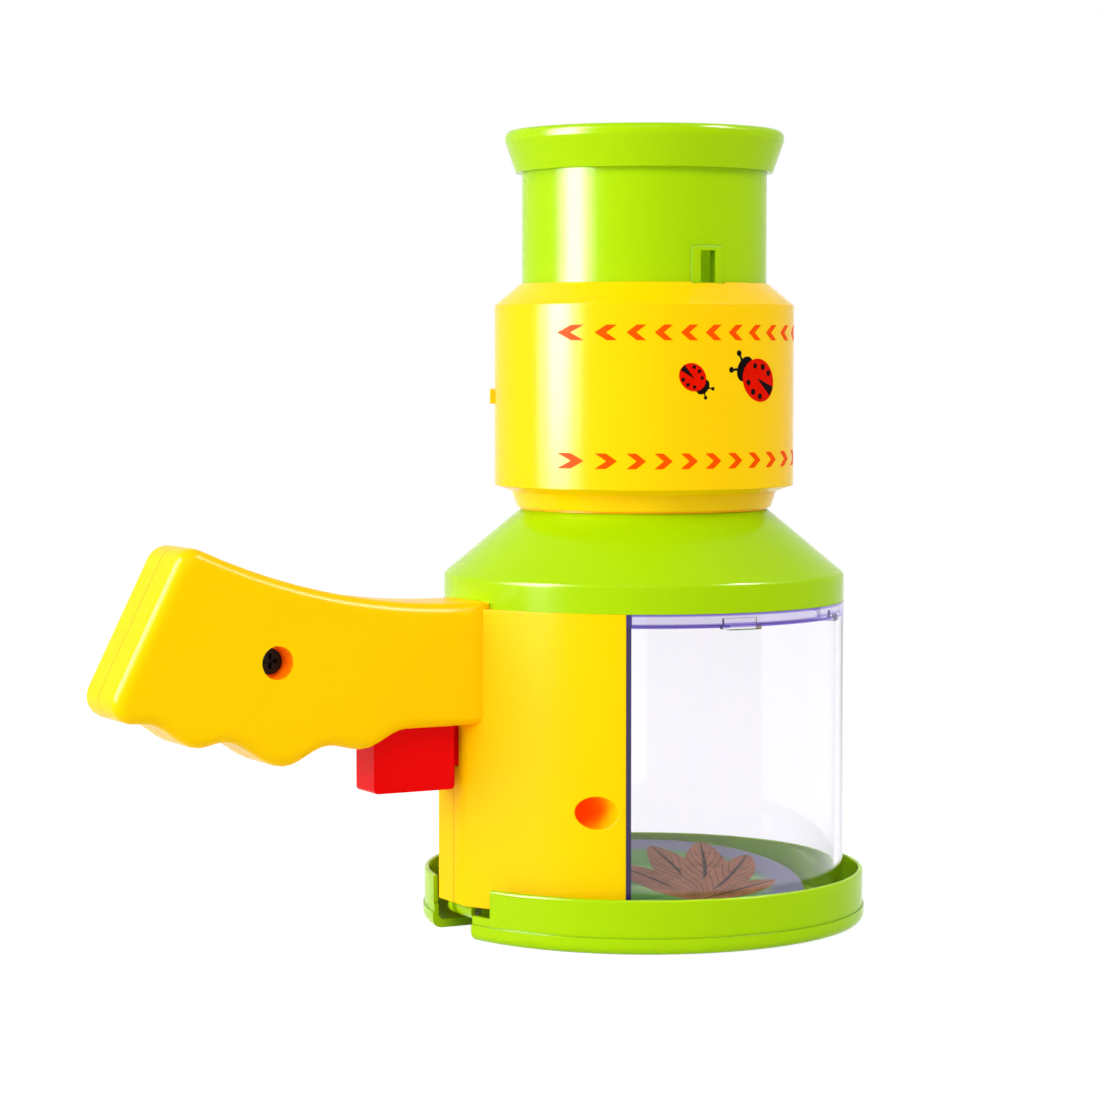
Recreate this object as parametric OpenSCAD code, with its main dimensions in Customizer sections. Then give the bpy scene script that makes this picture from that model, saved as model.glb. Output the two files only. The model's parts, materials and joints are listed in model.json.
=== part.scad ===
/* [Base tray] */
// How far the tray's rim stands outside the body shells
tray_step = 5; // [4:0.5:8]
// Height of the tray's rim above the table
rim_h = 13; // [11:0.5:15]
// Thickness of the rim wall
rim_t = 1.5; // [1.2:0.1:2]
// Thickness of the tray's floor
floor_t = 2; // [1.6:0.1:2.4]
// Clearance between the spine and the end of the rim on the far side
rim_gap = 1.2; // [1:0.1:1.4]
// How far the gap in the rim reaches past the spine's rear face on the near side
rim_gap_side = 10.6; // [10.4:0.1:12]
// How far the notch reaches past the spine's rear face on the near side
notch_side = 4.6; // [4.4:0.1:5.5]
// Clearance between the spine and the notch through the tray's floor
notch_gap = 0.6; // [0.4:0.1:0.9]
// Depth of the notch, from the outside of the rim
notch_in = 13; // [11:0.5:15]
// Widest angle that the tray opens to, in degrees
open_deg = 18; // [10:1:19]

/* [Chamber and body] */
// Outer radius of the body shells
body_r = 50; // [49.5:0.1:51]
// Wall of the body shells
body_t = 2; // [1.6:0.1:2.4]
// Height of the body's top edge
body_top = 79.5; // [76:0.5:84]
// Where the shells stop and the clear chamber starts, as a share of the shells' radius
split_share = 0.568; // [0.52:0.004:0.6]
// Wall of the clear chamber
clear_t = 2; // [1.5:0.1:2.5]
// Height of the chamber's top flange
flange_h = 2.9; // [2:0.1:4]
// Width of the chamber's top flange
flange_w = 5.7; // [4.5:0.1:7]
// Reach of the spine's flat rear face towards the near side, where it tapers into the shell
spine_near = 6.4; // [6.3:0.1:7]
// Reach of the spine's flat rear face towards the far side
spine_far = 8; // [7.8:0.1:8.4]
// How far the flat face of the spine stands out behind the shells
spine_out = 3; // [2.5:0.1:4]
// Height of the lower edge of the shell and the spine
shell_z = 7.6; // [7.5:0.1:8.2]

/* [Shoulder] */
// Height of the straight band of the shoulder
band_h = 7.4; // [6:0.2:9]
// How far the straight band lies inside the body shells
band_step = 0.4; // [0:0.1:1]
// Height of the cone above the band
cone_h = 15.2; // [13:0.2:18]
// How far the top of the cone stands outside the sliding tube
neck_step = 1.4; // [1:0.1:4]
// Wall of the shoulder
shoulder_t = 2.2; // [1.8:0.1:2.6]

/* [Collar and eyepiece] */
// How far the printed collar stands outside the sliding tube
collar_step = 6.8; // [6:0.1:10]
// Height of the collar above the shoulder
collar_h = 55.4; // [50:0.2:62]
// Wall of the collar
collar_t = 2.2; // [1.8:0.1:2.6]
// Outer radius of the sliding tube
tube_r = 30.2; // [29.5:0.1:30.8]
// Wall of the sliding tube
tube_t = 2; // [1.6:0.1:2.2]
// Length of the tube that stays in the collar when the eyepiece is drawn out
tube_hold = 27.7; // [25:0.1:30]
// Height of the tube that shows between collar and cap at rest
tube_out = 27.3; // [25:0.1:29]
// How far the flared eyepiece cap stands outside the sliding tube
cap_flare = 4.2; // [3.5:0.1:6]
// Height of the flared eyepiece cap
cap_h = 10.2; // [9:0.1:12]
// Depth of the cap's socket over the tube
cap_socket = 7; // [6:0.1:8]
// How far the eyepiece slides out from rest
focus_out = 12; // [10:1:14]
// How far the eyepiece slides in from rest
focus_in = 6; // [5:1:7]
// Width of the guide slot in the tube
slot_w = 4; // [3.6:0.1:4.6]

/* [Lenses] */
// Thickness of a lens at its edge
lens_edge = 2; // [1.6:0.1:2.4]
// Bulge of each face of a lens
lens_bulge = 2.6; // [1.5:0.1:3]

/* [Handle] */
// Half thickness of the handle
grip_half = 11; // [10:0.2:12]
// Radius of the rounded edges along the handle
grip_edge = 3.6; // [2.5:0.1:4.2]
// Wall of the handle shells
grip_wall = 2.2; // [1.8:0.1:2.6]
// Length of the handle behind the spine
grip_reach = 90.4; // [86:0.2:96]
// Depth of the finger waves, as a factor
wave_share = 1; // [0.6:0.1:1.1]

/* [Trigger] */
// Half thickness of the trigger
trigger_half = 5; // [4.4:0.1:5.4]
// Length of the trigger along the handle
trigger_l = 21.3; // [19:0.1:22]
// Height of the trigger's lower face above the table
trigger_z = 36; // [35:0.5:40]
// Diameter of the spring wire
wire_d = 0.9; // [0.7:0.05:1]
// Turns of the trigger spring
spring_turns = 6; // [5:1:7]

/* [Picture card] */
// How far the picture card's edge lies inside the body shells
card_in = 10; // [9:0.2:12]
// Tilt of the picture card towards the viewer, in degrees
card_tilt = 7.5; // [5:0.5:8]
// Thickness of the picture card
card_t = 0.6; // [0.4:0.1:0.8]

/* [Fasteners and pins] */
// Diameter of the screw heads
screw_head_d = 6.2; // [5.6:0.1:6.6]
// Diameter of the screw threads
screw_d = 3; // [2.6:0.1:3.2]
// Diameter of the tray's hinge pin
hinge_d = 3; // [2.6:0.1:3.2]
// Diameter of the link pin between rod and tray
link_d = 2; // [1.8:0.1:2.2]

/* [Hidden] */

// Facets of exact round shapes, and of the rounded edges
round_fn = 96;
small_fn = 32;
// Overrun of every cut, and the clearances that pieces keep
over = 1;
fit_gap = 0.3;
slide_gap = 0.3;
run_gap = 0.05;
seat_gap = 0.1;

// Colours of the mouldings
lime = "#B4EE00";
sun_yellow = "#FFE000";
collar_yellow = "#FFD400";
trigger_red = "#E60000";
clear_tint = [0.86, 0.84, 0.98, 0.3];
steel = "#B8BCC0";

// Radii and depths that follow the body shells and the sliding tube
tray_r = body_r + tray_step;
split_x = body_r * split_share;
spine_x = body_r + spine_out;
band_r = body_r - band_step;
card_r = body_r - card_in;
cone_r = tube_r + neck_step;
collar_r = tube_r + collar_step;
cap_r = tube_r + cap_flare;
grip_l = spine_x + grip_reach;
notch_x = tray_r - notch_in;
notch_far = spine_far + notch_gap;
notch_near = spine_near + notch_side;
rim_gap_far = spine_far + rim_gap;
rim_gap_near = spine_near + rim_gap_side;

// Where the spine's tapered near side touches the shell's circle
taper_turn = atan2(spine_near, spine_x) + acos(body_r / norm([spine_x, spine_near]));

// Heights of the stack, from the table up
chamber_z = floor_t + fit_gap;
shoulder_z = body_top;
shoulder_top = shoulder_z + band_h + cone_h;
collar_z = shoulder_top;
collar_top = collar_z + collar_h;
cap_z = collar_top + tube_out;
tube_top = cap_z + cap_socket;
tube_l = cap_socket + tube_out + focus_out + tube_hold;
tube_z = tube_top - tube_l;

// Inner radii that follow the walls
chamber_r = body_r - fit_gap;
flange_r = chamber_r - flange_w;
tray_in_r = tray_r - rim_t;

// Tray hinge: its axis runs along Y behind the chamber's flat wall
hinge_back = 6.6;
hinge_rise = 4;
hinge_x = -split_x - hinge_back;
hinge_z = floor_t + hinge_rise;
hinge_r = hinge_d / 2;
ear_in = 3.7;
ear_out = 6.2;
lug_in = 7;
lug_out = 11.6;
lug_cap = 1;
ear_r = 3.6;
lug_r = 3.4;
spine_wall = 1.3;
link_boss = 1.9;
link_x = -spine_x + spine_wall + fit_gap + link_boss;
link_arm = hinge_x - link_x;
link_r = link_d / 2;

// Pull rod: a flat strip between the trigger's tongue and the link pin
rod_half = 3;
rod_t = 2.4;
rod_x = link_x;
rod_head_half = 4.5;
rod_eye_r = 2.4;
rod_play = 0.2;
swing_in = link_arm * (1 - cos(open_deg));
pull = link_arm * open_deg * PI / 180;

// Where the handle meets the body: its front corner, its lower edge and its upper edge
grip_bite = 6;
grip_depth = 27.9;
grip_rise = 1.8;
grip_front = grip_bite - spine_x;
grip_low_z = body_top - grip_depth;
grip_high_z = body_top + grip_rise;

// Trigger, its arm and its tongue
trigger_gap = 2.2;
trigger_lap = 10.4;
trigger_front = -spine_x - trigger_gap;
trigger_back = trigger_front - trigger_l;
trigger_top = grip_low_z + trigger_lap;
arm_half = 2.5;
arm_h = 11.6;
arm_lap = 1.4;
arm_top = grip_low_z + arm_lap;
arm_z = arm_top - arm_h;
tongue_half = 1.8;
tongue_low = 1.6;
tongue_h = 7;
tongue_z = arm_z + tongue_low;
tongue_top = tongue_z + tongue_h;
tongue_reach = 3.4;
tongue_end = rod_x + tongue_reach;
hook_h = 1.4;
trigger_edge = 1;
rod_head_h = 13;
rod_top = tongue_z + rod_head_h;

// Trigger spring and its seat under the handle's ceiling
spring_x = (trigger_front + trigger_back) / 2;
spring_r = 3.4;
spring_seat_h = 2.5;
spring_seat_z = body_top - spring_seat_h;
spring_peg_r = 2.4;
spring_peg_h = 4;
spring_play = 0.045;

// Cross-head screws, driven from the near side
grip_screw_in = 39.7;
grip_screw_low = 10.4;
grip_screw_x = grip_screw_in - grip_l;
grip_screw_z = body_top - grip_screw_low;
body_screw_back = 5.3;
body_screw_low = 46.8;
body_screw_x = -split_x - body_screw_back;
body_screw_z = body_top - body_screw_low;
screw_hole_r = 3.9;
screw_boss_r = 5.4;
body_boss_r = 5;
screw_floor = 7;
screw_l = 14;
screw_head_h = 2.2;
drive_w = 0.9;
drive_l = 3.6;
drive_depth = 1.2;

// Points of an arc about a centre, from one angle to another
function arc(c, r, a0, a1, n) =
    [for (i = [0:n]) c + r * [cos(a0 + (a1 - a0) * i / n), sin(a0 + (a1 - a0) * i / n)]];

// Points of a parabola through two ends with one pulling point between them
function pulled(a, b, c, n) =
    [for (i = [0:n - 1]) let (t = i / n) a * (1 - t) * (1 - t) + b * 2 * t * (1 - t) + c * t * t];

// Points that ease from one place to the next along a half cosine
function eased(a, b, n) =
    [for (i = [0:n - 1]) let (t = i / n)
        [a[0] + (b[0] - a[0]) * t, a[1] + (b[1] - a[1]) * (1 - cos(180 * t)) / 2]];

// Handle outline in the XZ plane, counter-clockwise, from the lower front corner
grip_tail_r = 5.2;
grip_peak_r = 5;
peak_in = 19.8;
peak_rise = 11.5;
peak_mid = [peak_in - grip_l, body_top + peak_rise];
peak_slope = 24.5;
peak_lean = 27;
sag_in = 57.4;
sag_low = 0.1;
sag_point = [sag_in - grip_l, body_top - sag_low];
tail_low = 17.9;
tail_x = grip_tail_r - grip_l;
tail_z = body_top - tail_low;
tail_turn = 262;
// Turning points of the finger waves: place along the handle as a share, and rise above the wave line
wave_line = 1.6;
wave_shares = [0.907, 0.767, 0.697, 0.534, 0.405, 0.313, 0.1825];
wave_rises = [6.2, 0, 1, -5.5, -1.3, -2.6, 1.6];
waves = [for (i = [0:len(wave_shares) - 1])
    [-spine_x - (grip_l - spine_x) * wave_shares[i], grip_low_z - wave_line + wave_rises[i] * wave_share]];
wave_steps = 6;
top_steps = 12;
corner_steps = 6;
grip_outline = concat(
    [[grip_front, grip_low_z]],
    pulled([grip_front, grip_high_z], sag_point,
        peak_mid + grip_peak_r * [sin(peak_slope), cos(peak_slope)], top_steps),
    arc(peak_mid, grip_peak_r, 90 - peak_slope, 180 - peak_lean, corner_steps),
    arc([tail_x, tail_z], grip_tail_r, 180 - peak_lean, tail_turn, corner_steps),
    [for (i = [0:len(waves) - 2]) each eased(waves[i], waves[i + 1], wave_steps)],
    [waves[len(waves) - 1]]);

// Unit normal that points out of the outline at one of its points
function outward(points, i) =
    let (n = len(points), a = points[(i + n - 1) % n], b = points[(i + 1) % n], d = b - a)
    [d[1], -d[0]] / norm(d);

// Outline drawn in by a distance, point by point
function drawn_in(points, by) =
    [for (i = [0:len(points) - 1]) points[i] - outward(points, i) * by];

// Sections of a rounded slab: how far each is drawn in, and where it lies along Y
function slab_sections(half, edge, n) = concat(
    [for (i = [0:n]) [edge * (1 - sin(90 * i / n)), -half + edge * (1 - cos(90 * i / n))]],
    [for (i = [n:-1:0]) [edge * (1 - sin(90 * i / n)), half - edge * (1 - cos(90 * i / n))]]);

// Triangles of a flat cap, laced between the outline's upper and lower sides from the front to the tip
function cap(points) =
    let (n = len(points), xs = [for (p = points) p[0]], tip = search([min(xs)], xs)[0],
        low = concat([0], [for (i = [n - 1:-1:tip + 1]) i]), last = len(low) - 1,
        facing = [for (i = [0:last]) i == last ? tip
            : max(1, len([for (j = [1:tip]) if (xs[j] > xs[low[i]]) j]))])
    [for (i = [0:last - 1]) each concat([[low[i], low[i + 1], facing[i]]],
        facing[i + 1] > facing[i] ? [for (j = [facing[i]:facing[i + 1] - 1]) [j, low[i + 1], j + 1]] : [])];

// Rounded slab: one outline carried along Y, drawn in towards both faces
module slab(points, half, edge, steps) {
    sections = slab_sections(half, edge, steps);
    n = len(points);
    m = len(sections);
    corners = [for (s = sections) each [for (p = drawn_in(points, s[0])) [p[0], s[1], p[1]]]];
    sides = [for (j = [0:m - 2]) each [for (i = [0:n - 1])
        each [[j * n + i, j * n + (i + 1) % n, (j + 1) * n + (i + 1) % n],
            [j * n + i, (j + 1) * n + (i + 1) % n, (j + 1) * n + i]]]];
    near_cap = cap(points);
    far_cap = [for (f = near_cap) [for (k = [2:-1:0]) (m - 1) * n + f[k]]];
    polyhedron(corners, concat(sides, near_cap, far_cap), convexity = 6);
}

// Half space on one side of the parting plane: -1 is the near side, 1 the far side
module side_space(side) {
    reach = grip_l + tray_r;
    translate([-reach, side < 0 ? -reach : 0, -reach]) cube([reach * 2, reach, reach * 2]);
}

// Bar along Y with its middle at a place in the XZ plane
module y_bar(x, z, r, y0, y1, fn = small_fn) {
    translate([x, y0, z]) rotate([-90, 0, 0]) cylinder(h = y1 - y0, r = r, $fn = fn);
}

// Flat outline in the XZ plane given a thickness along Y
module y_plate(points, y0, y1) {
    translate([0, y1, 0]) rotate([90, 0, 0]) linear_extrude(y1 - y0) polygon(points);
}

// The spine seen from above, drawn in by a wall: flat behind, and tapered on the near side
function spine_plan(wall) =
    let (back = spine_x - wall, r = body_r - wall, near = (r - back * cos(taper_turn)) / sin(taper_turn))
    [[-back, -near], [-r * cos(taper_turn), -r * sin(taper_turn)],
        [-r * cos(taper_turn), spine_far - wall], [-back, spine_far - wall]];

// Body shell, spine and handle as one moulding, before the halves are parted
module body_outside() {
    intersection() {
        translate([0, 0, shell_z]) cylinder(h = body_top - shell_z, r = body_r, $fn = round_fn);
        translate([-body_r - over, -body_r - over, 0])
            cube([body_r - split_x + over, (body_r + over) * 2, body_top + over]);
    }
    translate([0, 0, shell_z]) linear_extrude(body_top - shell_z) polygon(spine_plan(0));
    slab(grip_outline, grip_half, grip_edge, corner_steps);
}

// Room behind the chamber, inside the shells and the spine
module body_inside() {
    room_r = body_r - body_t;
    translate([0, 0, shell_z - over]) cylinder(h = body_top - shell_z + over * 2, r = room_r,
        $fn = round_fn);
    translate([0, 0, shell_z - over]) linear_extrude(grip_low_z - shell_z + over)
        polygon(spine_plan(spine_wall));
}

module lug_and_post(side) {
    y0 = side < 0 ? -lug_out : lug_in;
    y1 = side < 0 ? -lug_in : lug_out;
    y_bar(hinge_x, hinge_z, lug_r, y0, y1);
    web_top = body_screw_z;
    web_low = hinge_z + lug_r + body_t;
    intersection() {
        y_plate([[hinge_x - lug_r, hinge_z], [hinge_x + lug_r, hinge_z], [hinge_x + lug_r, web_top],
            [-spine_x, web_top], [-spine_x, web_low + body_t], [hinge_x - lug_r, web_low]], y0, y1);
        linear_extrude(body_top) {
            circle(r = body_r - body_t / 2, $fn = round_fn);
            polygon(spine_plan(spine_wall / 2));
        }
    }
}

module body_half(side) {
    rod_room_top = rod_top + pull + over;
    difference() {
        union() {
            intersection() {
                difference() {
                    body_outside();
                    body_inside();
                    y_plate(drawn_in(grip_outline, grip_wall), grip_wall - grip_half,
                        grip_half - grip_wall);
                }
                side_space(side);
            }
            lug_and_post(side);
            grip_bosses(side);
            body_boss(side);
            trigger_guides(side);
        }
        // Mouth that the trigger slides through
        translate([trigger_back - slide_gap, -trigger_half - slide_gap, arm_z])
            cube([trigger_l + slide_gap * 2, (trigger_half + slide_gap) * 2,
                grip_low_z + grip_wall * 2 - arm_z]);
        // Slot that the trigger's arm moves in, through the spine and the shell
        translate([trigger_front - over, -arm_half - slide_gap, arm_z - slide_gap])
            cube([spine_x - split_x, (arm_half + slide_gap) * 2,
                arm_top - arm_z + pull + slide_gap * 2]);
        // Room for the rod's head inside the spine
        translate([rod_x - rod_t, -rod_head_half - slide_gap, grip_low_z - grip_wall * 2])
            cube([spine_x - split_x, (rod_head_half + slide_gap) * 2,
                rod_room_top - grip_low_z + grip_wall * 2]);
        y_bar(hinge_x, hinge_z, hinge_r, -lug_out + lug_cap, lug_out - lug_cap);
        // Room for the shoulder's band, where the handle's top rises past it
        translate([0, 0, body_top]) cylinder(h = grip_depth, r = band_r + seat_gap, $fn = round_fn);
    }
}

module grip_bosses(side) {
    near_wall = -grip_half + grip_wall / 2;
    if (side < 0)
        y_bar(grip_screw_x, grip_screw_z, screw_boss_r, near_wall, 0);
    else
        y_bar(grip_screw_x, grip_screw_z, screw_boss_r, 0, -near_wall);
}

module body_boss(side) {
    intersection() {
        y_bar(body_screw_x, body_screw_z, body_boss_r, min(side, 0) * body_r, max(side, 0) * body_r);
        cylinder(h = body_top, r = body_r - body_t / 2, $fn = round_fn);
    }
}

// Ribs beside the trigger, and the seat that its spring pushes against
module trigger_guides(side) {
    rib_y = trigger_half + slide_gap;
    wall_y = grip_half - grip_wall / 2;
    y0 = side < 0 ? -wall_y : rib_y;
    for (x = [trigger_back + grip_wall, trigger_front - grip_wall * 2])
        translate([x, y0, grip_low_z + grip_wall / 2])
            cube([grip_wall, wall_y - rib_y, spring_seat_z - grip_low_z]);
    translate([spring_x - spring_r - grip_wall, side < 0 ? -wall_y : 0, spring_seat_z])
        cube([(spring_r + grip_wall) * 2, wall_y, grip_high_z - grip_wall / 2 - spring_seat_z]);
}

module near_body_half() {
    color(sun_yellow) difference() {
        body_half(-1);
        // Screw wells, open on the near side, and the clearance holes at their feet
        y_bar(grip_screw_x, grip_screw_z, screw_hole_r, -grip_half - over, -grip_half + screw_floor);
        y_bar(grip_screw_x, grip_screw_z, screw_d / 2 + seat_gap, -grip_half, over);
        y_bar(body_screw_x, body_screw_z, screw_hole_r, -body_r - over, -grip_half + screw_floor);
        y_bar(body_screw_x, body_screw_z, screw_d / 2 + seat_gap, -grip_half, over);
    }
}

module far_body_half() {
    pilot_l = screw_l - (grip_half - screw_floor) + over;
    color(sun_yellow) difference() {
        body_half(1);
        y_bar(grip_screw_x, grip_screw_z, screw_d / 2 + run_gap, -over,
            min(pilot_l, grip_half - grip_wall));
        y_bar(body_screw_x, body_screw_z, screw_d / 2 + run_gap, -over, pilot_l);
    }
}

// Outline of the chamber seen from above: a circle with a flat rear side
module chamber_outline(r, x) {
    intersection() {
        circle(r = r, $fn = round_fn);
        translate([-x, -r - over]) square([r + x + over, (r + over) * 2]);
    }
}

module viewing_chamber() {
    flat_x = split_x - fit_gap / 2;
    lug_w = 8.5;
    lug_h = 1.2;
    lug_turn = 45;
    color(clear_tint) {
        translate([0, 0, chamber_z]) linear_extrude(body_top - chamber_z) difference() {
            chamber_outline(chamber_r, flat_x);
            chamber_outline(chamber_r - clear_t, flat_x - clear_t);
        }
        translate([0, 0, body_top - flange_h]) linear_extrude(flange_h) difference() {
            chamber_outline(chamber_r - clear_t / 2, flat_x - clear_t / 2);
            chamber_outline(flange_r, flat_x - clear_t * 2);
        }
        // Snap lugs just under the flange
        for (a = [-2:2]) rotate([0, 0, a * lug_turn])
            translate([flange_r - clear_t / 2, -lug_w / 2, body_top - flange_h - lug_h])
                cube([chamber_r - flange_r, lug_w, lug_h + flange_h / 2]);
    }
}

module shoulder() {
    edge = 1.3;
    inner_edge = 2;
    edge_turn = 50;
    neck_r = tube_r - collar_t * 2;
    t = shoulder_t;
    band_top = shoulder_z + band_h;
    color(lime) rotate_extrude($fn = round_fn) polygon(concat(
        [[band_r - t, shoulder_z], [band_r, shoulder_z]],
        arc([band_r - edge, band_top - edge], edge, 0, edge_turn, 5),
        arc([cone_r - edge, shoulder_top - edge / 2], edge / 2, edge_turn, 90, 3),
        [[neck_r, shoulder_top], [neck_r, shoulder_top - t], [cone_r - t - edge / 2, shoulder_top - t],
            [band_r - t, band_top - inner_edge]]));
}

// Raised frame round each guide slot of the tube
frame_t = 0.4;
frame_edge = 2.3;
frame_half = slot_w / 2 + frame_edge;

// Seat that a lens lies on, and the ring wall around it
lens_ledge = 4;
lens_seat_r = tube_r - tube_t - lens_ledge;
objective_in = 6.8;
objective_r = tube_r - objective_in;
objective_seat = 3.4;
collar_seam = 0.5;

module ring(r_out, r_in, h) {
    rotate_extrude($fn = round_fn) translate([r_in, 0]) square([r_out - r_in, h]);
}

module ring_at(z, r_out, r_in, h) {
    translate([0, 0, z]) ring(r_out, r_in, h);
}

module focus_collar() {
    seam = collar_seam;
    foot_r = cone_r - seat_gap;
    flare = 1.3;
    flare_z = 3.9;
    step_z = 1.5;
    top_chamfer = 5.3;
    lip = 0.2;
    mouth_r = tube_r + slide_gap;
    spigot_r = tube_r - collar_t * 2 - fit_gap;
    in_r = collar_r - collar_t;
    plate_top = collar_z + seam + objective_seat;
    lip_z = collar_top - top_chamfer;
    color(collar_yellow) {
        difference() {
            rotate_extrude($fn = round_fn) polygon([
                [objective_r - collar_t, collar_z - shoulder_t * 2],
                [spigot_r, collar_z - shoulder_t * 2],
                [spigot_r, collar_z], [foot_r - over, collar_z], [foot_r - over, collar_z + seam],
                [foot_r, collar_z + seam], [foot_r + flare, collar_z + seam + flare_z],
                [collar_r, collar_z + seam + flare_z + step_z], [collar_r, lip_z],
                [mouth_r + lip, collar_top], [mouth_r, collar_top], [mouth_r, lip_z],
                [in_r, lip_z - collar_t], [in_r, collar_z + seam + flare_z + collar_t],
                [foot_r - collar_t / 2, plate_top], [objective_r + seat_gap + collar_t, plate_top],
                [objective_r + seat_gap + collar_t, plate_top + lens_edge + collar_t],
                [objective_r + seat_gap, plate_top + lens_edge + collar_t],
                [objective_r + seat_gap, plate_top], [objective_r - collar_t, plate_top]]);
            // Notches in the mouth that the raised frame of the tube runs in
            for (side = [-1, 1])
                translate([-frame_half - slide_gap,
                    side > 0 ? 0 : -mouth_r - frame_t, lip_z - over * 3])
                    cube([(frame_half + slide_gap) * 2, mouth_r + frame_t, top_chamfer + over * 4]);
        }
        // Keys that run in the tube's slots, and the ribs that steady the tube
        rib_low = collar_z + seam + flare_z + collar_t;
        for (side = [-1, 1])
            translate([-slot_w / 2 + slide_gap, side > 0 ? tube_r - tube_t : -in_r - over / 2,
                rib_low])
                cube([slot_w - slide_gap * 2, in_r - tube_r + tube_t + over / 2,
                    lip_z - rib_low - collar_t]);
        for (a = [30:60:330]) if (a % 90 != 0) rotate([0, 0, a])
            translate([mouth_r, -collar_t / 2, rib_low])
                cube([in_r - mouth_r + over / 2, collar_t, lip_z - rib_low - collar_t / 2]);
        // Small tab towards the rear
        tab_turn = 28;
        tab_z = 25.9;
        tab_h = 3.7;
        tab_out = 1.2;
        rotate([0, 0, -tab_turn]) translate([-collar_r - tab_out, -collar_t / 2, collar_z + tab_z])
            cube([tab_out + collar_t / 2, collar_t, tab_h]);
    }
}

// Biconvex lens with a flat rim that it is seated by
module lens(r, clear_r, edge_h, bulge) {
    steps = 10;
    color(clear_tint) rotate_extrude($fn = round_fn) polygon(concat(
        [for (i = [0:steps]) [clear_r * i / steps, -bulge * (1 - pow(i / steps, 2))]],
        [[r, 0], [r, edge_h]],
        [for (i = [steps:-1:0]) [clear_r * i / steps, edge_h + bulge * (1 - pow(i / steps, 2))]]));
}

objective_z = collar_z + collar_seam + objective_seat;

module objective_lens() {
    translate([0, 0, objective_z]) lens(objective_r, objective_r - collar_t - fit_gap, lens_edge, lens_bulge);
}

module objective_ring() {
    ring_h = 1.6;
    color("#303030") translate([0, 0, objective_z + lens_edge])
        ring(objective_r, objective_r - collar_t, ring_h);
}

// Height of the ledge that carries the eye lens, inside the top of the tube
eye_depth = 8;
eye_z = tube_top - eye_depth;

module eyepiece_tube() {
    slot_end = 1.5;
    slot_top = collar_top + focus_in + slot_end;
    in_r = tube_r - tube_t;
    color(lime) difference() {
        union() {
            ring_at(tube_z, tube_r, in_r, tube_l);
            ring_at(eye_z - tube_t, in_r + tube_t / 2, lens_seat_r, tube_t);
            // Raised frames round the two guide slots
            for (side = [-1, 1]) intersection() {
                ring_at(tube_z, tube_r + frame_t, in_r + tube_t / 2, slot_top + over - tube_z);
                translate([-frame_half, side > 0 ? 0 : -body_r, tube_z])
                    cube([frame_half * 2, body_r, tube_l]);
            }
        }
        for (side = [-1, 1])
            translate([-slot_w / 2, side > 0 ? in_r - tube_t : -tube_r - over, tube_z - over])
                cube([slot_w, tube_t * 2 + over, slot_top - tube_z + over]);
    }
}

module eyepiece_cap() {
    lip_t = 1.5;
    edge = 1.6;
    flare_end = 2.56;
    lip_r = tube_r + lip_t;
    top = cap_z + cap_h;
    mouth = lens_seat_r + tube_t;
    color(lime) rotate_extrude($fn = round_fn) polygon(concat(
        [[tube_r + run_gap, cap_z], [lip_r, cap_z], [cap_r, top - flare_end]],
        arc([cap_r - edge, top - edge], edge, 10, 90, 6),
        arc([cap_r - edge - tube_t, top - edge], edge, 90, 150, 4),
        [[mouth, tube_top + tube_t / 2], [mouth, tube_top], [tube_r + run_gap, tube_top]]));
}

module eye_lens() {
    translate([0, 0, eye_z]) lens(tube_r - tube_t - seat_gap, lens_seat_r - fit_gap, lens_edge, lens_bulge);
}

module eye_lens_ring() {
    ring_h = 3;
    color("#303030") translate([0, 0, eye_z + lens_edge])
        ring(tube_r - tube_t - seat_gap, lens_seat_r + tube_t, ring_h);
}

// Cross-head screw along Y: the under side of its head lies at y0
module screw(x, z, y0, l) {
    color(steel) {
        difference() {
            y_bar(x, z, screw_head_d / 2, y0 - screw_head_h, y0);
            for (turn = [0, 90]) translate([x, y0 - screw_head_h, z]) rotate([0, turn, 0])
                translate([-drive_l / 2, -over, -drive_w / 2])
                    cube([drive_l, drive_depth + over, drive_w]);
        }
        y_bar(x, z, screw_d / 2, y0, y0 + l);
    }
}

module handle_screw() {
    screw(grip_screw_x, grip_screw_z, -grip_half + screw_floor, screw_l - body_t);
}

module body_screw() {
    screw(body_screw_x, body_screw_z, -grip_half + screw_floor, screw_l);
}

module hinge_pin() {
    color(steel) y_bar(hinge_x, hinge_z, hinge_r - run_gap, -lug_out + lug_cap, lug_out - lug_cap);
}

// Tray: floor and rim turned round Z, with the gap and notch behind, and the hinge ears
module base_tray() {
    foot = 2.2;
    groove = 0.35;
    groove_z = 4;
    tip = 0.6;
    inner_fillet = 1;
    color(lime) {
        difference() {
            rotate_extrude($fn = round_fn) polygon(concat(
                [[0, 0], [tray_r - foot, 0]],
                arc([tray_r - foot, foot], foot, -60, 0, 4),
                [[tray_r, groove_z], [tray_r - groove, groove_z],
                    [tray_r - groove, groove_z + groove]],
                arc([tray_r - groove - tip, rim_h - tip], tip, 0, 90, 3),
                arc([tray_in_r + tip / 2, rim_h - tip / 2], tip / 2, 90, 180, 2),
                [[tray_in_r, floor_t + inner_fillet], [tray_in_r - inner_fillet, floor_t],
                    [0, floor_t]]));
            translate([-tray_r - over, -rim_gap_near, hinge_z])
                cube([tray_r - notch_x + over, rim_gap_near + rim_gap_far, rim_h]);
            translate([-tray_r - over, -notch_near, -over])
                cube([tray_r - notch_x + over, notch_near + notch_far, rim_h]);
        }
        for (side = [-1, 1]) tray_ear(side);
        card_rests();
    }
}

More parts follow.
